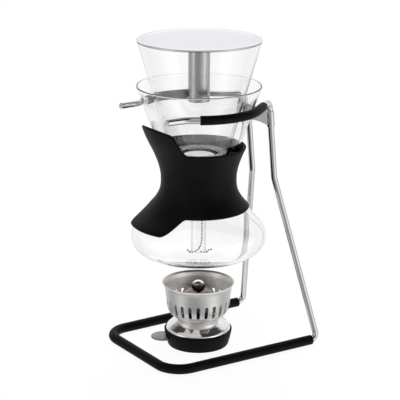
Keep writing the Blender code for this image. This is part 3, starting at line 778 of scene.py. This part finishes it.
def make_band(rubber, glass_outline):
    """Silicone ring round the waist, with a wing on the -Y side that reaches up and down."""
    columns, rows, lip = 240, 44, 5
    half = BAND_THICKNESS / 2
    work = bmesh.new()
    rings = []
    for step in range(columns):
        angle = 2 * pi * step / columns
        from_front = abs((angle + pi / 2 + pi) % (2 * pi) - pi)
        crown = cos(min(from_front / WING_HALF_WIDTH, 1) * pi / 2)
        crest = WING_SHOULDER + (1 - WING_SHOULDER) * crown
        top_reach = crest * eased(from_front, *WING_TOP_EDGE)
        bottom_reach = eased(from_front, *WING_BOTTOM_EDGE)
        top = BAND_TOP + (BAND_WING_TOP - BAND_TOP) * top_reach - half
        bottom = BAND_BOTTOM + (BAND_WING_BOTTOM - BAND_BOTTOM) * bottom_reach + half
        middle = []
        for row in range(rows + 1):
            height = bottom + (top - bottom) * row / rows
            middle.append(Vector((band_middle(glass_outline, height), height)))
        inner, outer = offset_outline(middle, half), offset_outline(middle, -half)
        section = outer + round_lip(outer[-1], inner[-1], lip)
        section += inner[::-1] + round_lip(inner[0], outer[0], lip)
        turn = Vector((cos(angle), sin(angle)))
        rings.append([work.verts.new((p.x * turn.x, p.x * turn.y, p.y)) for p in section])
    for index, ring in enumerate(rings):
        bridge(work, ring, rings[(index + 1) % columns])
    add_piece("band_silicone", finish_mesh(work), rubber, "carafe", ["silicone_band"],
              70)


# ---------------------------------------------------------------- upper bowl and filter
def make_bowl(glass, rubber):
    stem_end, rim = BOWL_LOW.z, BOWL_HIGH.z
    outer = [Vector((10.0 * MM, stem_end))]
    outer += points((10.0, 239.0), (12.5, 241.6), (23.0, 243.0), (25.0, 246.0), (25.8, 252.0),
                    (37.0, 252.0), (38.6, 257.0))
    outer.append(Vector((BOWL_HIGH.x, rim)))
    bends = [0, 3 * MM, 3 * MM, 2 * MM, 2 * MM, 1.5 * MM, 4 * MM, 4 * MM, 0]
    inner = [Vector((8.0 * MM, stem_end))]
    inner += points((8.0, 244.8), (23.0, 245.0), (23.2, 254.0), (35.6, 254.0), (36.8, 258.0))
    inner.append(Vector((BOWL_HIGH.x - GLASS, rim)))
    inner_bends = [0, 1.6 * MM, 1.2 * MM, 1.6 * MM, 3 * MM, 3 * MM, 0]
    outside = rounded(outer, bends, 6, closed=False)
    inside = rounded(inner, inner_bends, 6, closed=False)
    outline = outside + round_lip(outside[-1], inside[-1]) + inside[::-1]
    outline += round_lip(inside[0], outside[0])
    # The round lips bulge past the CAD's ends, so they are cut flat there.
    for point in outline:
        point.y = min(max(point.y, stem_end), rim)
    add_piece("bowl_clear", turned(outline, 160), glass, "upper_bowl",
              ["upper_bowl_glass"], 60)
    stopper = points((10.2, 222), (16, 222), (18, 234), (33, 236.5), (37.0, 222.5), (40.6, 222),
                     (42.3, 240), (44.6, 250.4), (43.4, 251.6), (26.8, 251.6), (25.6, 245.0),
                     (23.3, 242.2), (13.0, 240.6), (10.2, 237.2))
    add_piece("stopper_rubber", turned(rounded(stopper, 0.9 * MM)), rubber,
              "upper_bowl", ["neck_stopper"])


def hook_side(*spots):
    """Points in the upright plane of the chain's hook, from (distance, height) in millimetres."""
    return [Vector((cos(HOOK_ANGLE) * across, sin(HOOK_ANGLE) * across, height)) * MM
            for across, height in spots]


def bead_string(name, path, steel, node):
    """Ball chain: round beads on a thin wire."""
    bead_radius, wire_radius, pitch = 1.3 * MM, 0.25 * MM, 3.6 * MM
    total = lengths_along(path)
    work = bmesh.new()
    count = int(total[-1] / pitch)
    for bead in range(count + 1):
        distance = max(bead * pitch, 0.01 * MM)
        place = stretch(path, 0.0, distance)[-1]
        bmesh.ops.create_uvsphere(work, u_segments=16, v_segments=10, radius=bead_radius,
                                  matrix=Matrix.Translation(place))
    wire = resampled(stretch(path, 0.0, max(count * pitch, pitch)), 2 * MM)
    bridge_along(work, swept_rings(work, wire, [wire_radius] * len(wire), 8))
    add_piece(name, finish_mesh(work), steel, "upper_bowl", [node])


def make_filter(cloth, steel):
    cover = points((12, 245.3), (20.0, 245.3), (20.6, 246.2), (20.6, 248.5), (20.0, 249.2), (8, 249.5),
                   (0, 249.55))
    top = rounded(cover, [0, 0.5 * MM, 0.5 * MM, 0.9 * MM, 1.5 * MM, 4 * MM, 0], 5, closed=False)
    outline = top + offset_outline(top, 0.6 * MM)[::-1]
    mesh = turned(outline, 160)
    for vert in mesh.vertices:
        radius = hypot(vert.co.x, vert.co.y)
        angle = atan2(vert.co.y, vert.co.x)
        gather = max(0.0, (radius - 15 * MM) / (6 * MM))
        vert.co.z += 0.12 * MM * gather * sin(angle * 23) * sin(angle * 5 + 1)
    piece = add_piece("cover_flannel", mesh, cloth, "upper_bowl", ["filter_cloth"], 80)
    coil = []
    turns, steps, low, high = 5, 28, 229 * MM, 245.2 * MM
    for step in range(turns * steps + 1):
        share = step / (turns * steps)
        angle = 2 * pi * turns * share
        coil.append(Vector((4 * MM * cos(angle), 4 * MM * sin(angle), low + (high - low) * share)))
    add_piece("spring_steel", rod(coil, 0.45 * MM, 12, 0.2 * MM), steel, "upper_bowl",
              ["filter_spring"])
    chain = smooth_through(hook_side((0, 227.5), (-4.3, 200), (-4.3, 160), (-4, 137), (-1, 128),
                                     (3, 123.2), (7.5, 121.5), (11, 121.7), (13.4, 123.6), (13.6, 126)), 8)
    bead_string("chain_beads", chain, steel, "ball_chain")
    tail = smooth_through(hook_side((-3.4, 122.2), (-7.5, 121.4), (-11.4, 122), (-13.6, 125),
                                    (-18.4, 125.4)), 8)
    bead_string("tail_beads", tail, steel, "chain_tail")


# ---------------------------------------------------------------- lid
def make_lid(brushed, polished):
    top, radius = LID_HIGH.z, LID_HIGH.x
    step_radius, sheet, drop = 66.0 * MM, 1.2 * MM, 1.5 * MM
    outline = [
        Vector((0, top - drop - sheet)),
        Vector((step_radius - 0.4 * MM, top - drop - sheet)),
        Vector((step_radius + 2.0 * MM, top - 2.7 * MM)),
        Vector((radius - 1.2 * MM, top - 2.95 * MM)),
        Vector((radius, top - 2.4 * MM)),
        Vector((radius, top - 1.0 * MM)),
        Vector((radius - 2.2 * MM, top - 0.1 * MM)),
        Vector((step_radius + 4.0 * MM, top)),
        Vector((step_radius + 0.8 * MM, top - drop)),
        Vector((0, top - drop)),
    ]
    bends = [0, 0.5 * MM, 0.4 * MM, 0.6 * MM, 0.6 * MM, 1.4 * MM, 3.0 * MM, 3.0 * MM, 1.2 * MM, 0]
    shape = rounded(outline, bends, 5, closed=False)
    add_piece("lid_brushed", turned(shape, 192), brushed, "lid", ["lid_plate"], 30)
    wall = 1.0 * MM
    tube = [
        Vector((TUBE_HIGH.x - wall, TUBE_LOW.z)),
        Vector((TUBE_HIGH.x, TUBE_LOW.z)),
        Vector((TUBE_HIGH.x, TUBE_HIGH.z)),
        Vector((TUBE_HIGH.x - wall, TUBE_HIGH.z)),
    ]
    add_piece("tube_polished", turned(rounded(tube, 0.3 * MM, 4)), polished, "lid",
              ["lid_tube"], 50)


# ---------------------------------------------------------------- burner
def make_boot(rubber, tab_finish):
    wall = points((0, 0), (38.0, 0), (39.0, 1.4), (41.2, 9.5), (42.9, 17.2), (43.3, 20.8), (41.9, 20.8),
                  (41.7, 16.6), (38.8, 9.0), (35.0, 3.0), (0, 3.0))
    bends = [0, 1.2 * MM, 2.5 * MM, 9 * MM, 6 * MM, 0.6 * MM, 0.6 * MM, 4 * MM, 6 * MM, 2 * MM, 0]
    add_piece("boot_rubber", turned(rounded(wall, bends, 6), 160), rubber, "burner",
              ["burner_boot"])
    make_tab(tab_finish)


def make_tab(rubber):
    """Flat round tongue with a rounded edge. Its root follows the boot's wall, inside it."""
    root = 39.0 * MM
    along = Vector((cos(TAB_ANGLE), sin(TAB_ANGLE)))
    across = Vector((-along.y, along.x))
    steps, rim = 96, 6
    half = (TAB_TOP - TAB_BOTTOM) / 2
    work = bmesh.new()
    rings = []
    section = []
    for step in range(rim + 1):
        angle = pi / 2 - pi * step / rim
        section.append(Vector((half * cos(angle) - half, half * sin(angle))))
    for level in section:
        ring = []
        for step in range(steps):
            angle = 2 * pi * step / steps
            reach = TAB_RADIUS + level.x
            x = TAB_REACH + reach * cos(angle)
            y = reach * sin(angle)
            distance = hypot(x, y)
            if distance < root:
                x *= root / distance
                y *= root / distance
            spot = along * x + across * y
            ring.append(work.verts.new((spot.x, spot.y, (TAB_TOP + TAB_BOTTOM) / 2 + level.y)))
        rings.append(ring)
    bridge_along(work, rings)
    work.faces.new(rings[0])
    work.faces.new(rings[-1])
    add_piece("tab_rubber", finish_mesh(work), rubber, "burner", (), 50)


def make_reservoir(chrome):
    outer = points((0, 3.3), (34.6, 3.3), (38.4, 9.2), (41.2, 16.8), (41.5, 21.6), (39.6, 25.2),
                   (34.2, 30.0), (28.4, 34.5), (24.6, 36.3), (21.5, 36.4), (20.9, 34.0), (15.4, 33.9))
    bends = [0, 2 * MM, 4 * MM, 6 * MM, 5 * MM, 9 * MM, 20 * MM, 20 * MM, 5 * MM, 0.5 * MM, 0.3 * MM, 0]
    outline = shell(rounded(outer, bends, 8, closed=False), 0.9 * MM)
    add_piece("reservoir_chrome", turned(outline, 192), chrome, "burner",
              ["fuel_reservoir"], 50)


def make_wick_holder(stained, cap_finish, cotton):
    tower = points((4.0, 27), (6.0, 27), (6.0, 33), (14.9, 33), (14.9, 35.5), (20.4, 35.5), (20.4, 37.4),
                   (19.4, 38.4), (19.6, 69.4), (18.4, 70.8), (9.6, 73.6), (7.2, 74.4), (7.2, 80.6),
                   (4.0, 80.6))
    bends = [0.2, 0.4, 1.0, 0.5, 0.2, 0.6, 0.8, 0.8, 1.4, 1.4, 1.4, 0.6, 0.5, 0.3]
    shape = rounded(tower, [bend * MM for bend in bends], 6)
    add_piece("holder_chrome", turned(shape), stained, "burner", ["wick_holder"])
    wick = points((0, 6), (3.2, 6), (3.6, 7), (3.6, 80.4), (2.8, 81.4), (0, 81.4))
    add_piece("wick_braid", turned(rounded(wick, 0.5 * MM, 4, closed=False), 48), cotton, "wick",
              ["wick"])
    height, radius = CAP_HIGH.z - CAP_LOW.z, CAP_HIGH.x
    dome = [Vector((radius, CAP_LOW.z))]
    steps = 16
    straight = 0.25 * height
    for step in range(steps + 1):
        angle = pi / 2 * step / steps
        dome.append(Vector((radius * cos(angle), CAP_LOW.z + straight + (height - straight) * sin(angle))))
    dome[-1].x = 0.0
    add_piece("cap_chrome", turned(shell(dome, 0.7 * MM), 96), cap_finish, "cap", ["snuffer_cap"],
              50)


def guard_point(profile, angle, height):
    radius = radius_on(profile, height)
    return Vector((radius * cos(angle), radius * sin(angle), height))


def make_wind_guard(satin):
    """Spun cup with upright slots. Each slot sits in its own patch of the wall."""
    columns, side_rows, loops = 8, 14, 4          # of the mesh round each slot
    low_zone, high_zone = SLOT_BOTTOM - SLOT_MARGIN, SLOT_TOP + SLOT_MARGIN
    outer = points((22.4, 36.9), (24.8, 37.0), (29.6, 38.5), (33.9, 41.6), (37.2, 46.2), (39.2, 54),
                   (40.4, 67), (41.8, 76), (43.2, 80.8), (45.2, 83.1))
    bends = [0, 1 * MM, 8 * MM, 9 * MM, 12 * MM, 30 * MM, 30 * MM, 12 * MM, 4 * MM, 0]
    profile = rounded(outer, bends, 8, closed=False)
    below = [p for p in profile if p.y < low_zone - 0.3 * MM]
    above = [p for p in profile if p.y > high_zone + 0.3 * MM]
    below.append(Vector((radius_on(profile, low_zone), low_zone)))
    above.insert(0, Vector((radius_on(profile, high_zone), high_zone)))
    sector = 2 * pi / SLOT_COUNT
    work = bmesh.new()
    for rows in (below, above):
        bridge_along(work, turned_rings(work, rows, SLOT_COUNT * columns, SLOT_PHASE - sector / 2))
    wall_radius = radius_on(profile, (SLOT_BOTTOM + SLOT_TOP) / 2)
    # One slot's patch, unrolled: `edge` goes round its frame, and `mouth` round the slot itself.
    frame_points = [(-1 + 2 * step / columns, 0.0) for step in range(columns)]
    frame_points += [(1.0, step / side_rows) for step in range(side_rows)]
    frame_points += [(1 - 2 * step / columns, 1.0) for step in range(columns)]
    frame_points += [(-1.0, 1 - step / side_rows) for step in range(side_rows)]
    edge = [Vector((across * sector / 2 * wall_radius, low_zone + (high_zone - low_zone) * share))
            for across, share in frame_points]
    centre, half = Vector((0.0, (SLOT_BOTTOM + SLOT_TOP) / 2)), SLOT_WIDTH / 2
    straight = (SLOT_TOP - SLOT_BOTTOM) / 2 - half
    mouth = []
    for point in edge:
        arm = point - centre
        # The nearest point of the slot's middle line; 0.88 keeps the patch's faces from crowding.
        spine = Vector((0.0, min(max(arm.y * 0.88, -straight), straight)))
        mouth.append(centre + spine + (arm - spine).normalized() * half)
    for slot in range(SLOT_COUNT):
        middle = SLOT_PHASE + sector * slot
        rings = []
        for loop in range(loops + 1):
            spots = [outside.lerp(inside, loop / loops) for outside, inside in zip(edge, mouth)]
            rings.append([work.verts.new(guard_point(profile, middle + spot.x / wall_radius, spot.y))
                          for spot in spots])
        bridge_along(work, rings)
    bmesh.ops.remove_doubles(work, verts=work.verts, dist=0.02 * MM)
    guard = add_piece("guard_satin", finish_mesh(work), satin, "guard", ["wind_guard"], 35)
    wall = guard.modifiers.new("wall", "SOLIDIFY")
    wall.thickness = 0.9 * MM
    wall.offset = -1
    wall.use_even_offset = True
    ease = guard.modifiers.new("ease", "BEVEL")
    ease.width = 0.18 * MM
    ease.segments = 2
    ease.limit_method = "ANGLE"
    ease.angle_limit = radians(50)


# ---------------------------------------------------------------- studio
def make_camera():
    """A long lens at the height and side from which the brewer is usually shown."""
    back = Vector((sin(CAMERA_AZIMUTH) * cos(CAMERA_ELEVATION),
                   -cos(CAMERA_AZIMUTH) * cos(CAMERA_ELEVATION), sin(CAMERA_ELEVATION)))
    right = Vector((cos(CAMERA_AZIMUTH), sin(CAMERA_AZIMUTH), 0))
    upward = right.cross(-back)
    across = right * cos(CAMERA_ROLL) + upward * sin(CAMERA_ROLL)
    upright = upward * cos(CAMERA_ROLL) - right * sin(CAMERA_ROLL)
    data = bpy.data.cameras.new("camera")
    data.sensor_width = 36.0
    data.lens = LENS_MM
    data.shift_x = LENS_SHIFT
    data.clip_end = 60.0
    camera = bpy.data.objects.new("camera", data)
    bpy.context.scene.collection.objects.link(camera)
    place = Matrix((across, upright, back)).transposed().to_4x4()
    place.translation = Vector((0, 0, CAMERA_AIM_HEIGHT)) + back * CAMERA_DISTANCE
    camera.matrix_world = place
    bpy.context.scene.camera = camera


def make_floor():
    work = bmesh.new()
    bmesh.ops.create_grid(work, x_segments=1, y_segments=1, size=FLOOR_SIZE)
    mesh = bpy.data.meshes.new("floor")
    work.to_mesh(mesh)
    work.free()
    mesh.materials.append(floor_white())
    floor = bpy.data.objects.new("floor", mesh)
    floor.location.z = -FLOOR_DROP
    bpy.context.scene.collection.objects.link(floor)
    floor.visible_glossy = False


def sky_ramp(sky, bearing, stops):
    """A smooth ramp round the room; each stop is (degrees, brightness or colour)."""
    ramp = sky.node("ShaderNodeValToRGB")
    ramp.color_ramp.interpolation = "EASE"
    while len(ramp.color_ramp.elements) < len(stops):
        ramp.color_ramp.elements.new(1.0)
    for element, (degrees, level) in zip(ramp.color_ramp.elements, stops):
        element.position = (degrees + 180) / 360
        colour = (level, level, level) if isinstance(level, float) else level
        element.color = (*[channel / PEAK for channel in colour], 1.0)
    sky.link(sky.range(bearing, 0.0, 1.0, (-180, 180)), ramp.inputs["Fac"])
    return ramp.outputs["Color"]


def make_studio():
    """Light by direction: soft lights at both sides of the camera, a dim room, white behind and above.

    Bearings are in degrees from the camera's side, and each brightness is divided by PEAK.
    """
    world = bpy.data.worlds.new("studio")
    world.use_nodes = True
    bpy.context.scene.world = world
    sky = Nodes(world.node_tree)
    turn = sky.node("ShaderNodeVectorRotate", rotation_type="Z_AXIS")
    turn.inputs["Angle"].default_value = pi / 2 - CAMERA_AZIMUTH
    sky.link(sky.node("ShaderNodeTexCoord").outputs["Generated"], turn.inputs["Vector"])
    parts = sky.node("ShaderNodeSeparateXYZ")
    sky.link(turn.outputs["Vector"], parts.inputs["Vector"])
    height = parts.outputs["Z"]
    bearing = sky.math("DEGREES", sky.math("ARCTAN2", parts.outputs["Y"], parts.outputs["X"]))
    pale = (0.66, 0.60, 0.55)
    white = 1.0 / PEAK
    room = sky_ramp(sky, bearing, [
        (-180, 0.97), (-145, 0.9), (-120, 0.55), (-95, 0.55), (-62, 1.1), (-35, 0.40), (0, 0.36),
        (30, 0.68), (56, 1.4), (90, 0.8), (115, 0.62), (145, 0.9), (180, 0.97)])
    ceiling = sky_ramp(sky, bearing, [
        (-180, 1.35), (-150, 1.15), (-130, 0.35), (-115, 0.06), (-88, 0.06), (-80, pale), (10, pale),
        (17, 0.04), (108, 0.06), (124, 0.85), (150, 1.15), (180, 1.35)])
    upward = sky.range(height, 0.0, 1.0, ROOM_TO_CEILING, interpolation_type="SMOOTHSTEP")
    downward = sky.range(height, 0.0, 1.0, GROUND_TO_WHITE, interpolation_type="SMOOTHSTEP")
    light = sky.blend(downward, sky.blend(upward, room, ceiling), (white, white, white))
    background = world.node_tree.nodes["Background"]
    sky.link(light, background.inputs["Color"])
    background.inputs["Strength"].default_value = PEAK
    make_floor()
    bpy.context.scene.view_settings.view_transform = "Standard"


# ---------------------------------------------------------------- assembly
def main():
    glass, steel, tube = clear_glass(), polished_steel(), tube_steel()
    chrome, brushed, satin = mirror_chrome(), brushed_lid_steel(), satin_guard_steel()
    sleeve_rubber = black_rubber("sleeve_rubber", (0.0016, 0.0015, 0.0015), 0.55, 1400, 0.10)
    silicone = black_rubber("band_silicone_finish", (0.0018, 0.0015, 0.0016), 0.52, 1800, 0.11)
    boot_rubber = black_rubber("boot_rubber_finish", (0.0018, 0.0016, 0.0016), 0.52, 1600, 0.08)
    tab_rubber = black_rubber("tab_rubber_finish", (0.23, 0.215, 0.22), 0.34, 1600, 1.0)
    cloth = filter_cotton()
    make_camera()
    make_stand(steel, sleeve_rubber)
    make_carafe(glass, silicone)
    make_bowl(glass, boot_rubber)
    make_filter(cloth, tube)
    make_lid(brushed, tube)
    make_boot(boot_rubber, tab_rubber)
    make_reservoir(chrome)
    make_wick_holder(holder_metal(), snuffer_chrome(), wick_cotton())
    make_wind_guard(satin)
    for node, finish in (("filter_plate", tube), ("holder_seal", boot_rubber)):
        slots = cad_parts[node].data.materials
        slots.clear()
        slots.append(finish)
    make_studio()


main()
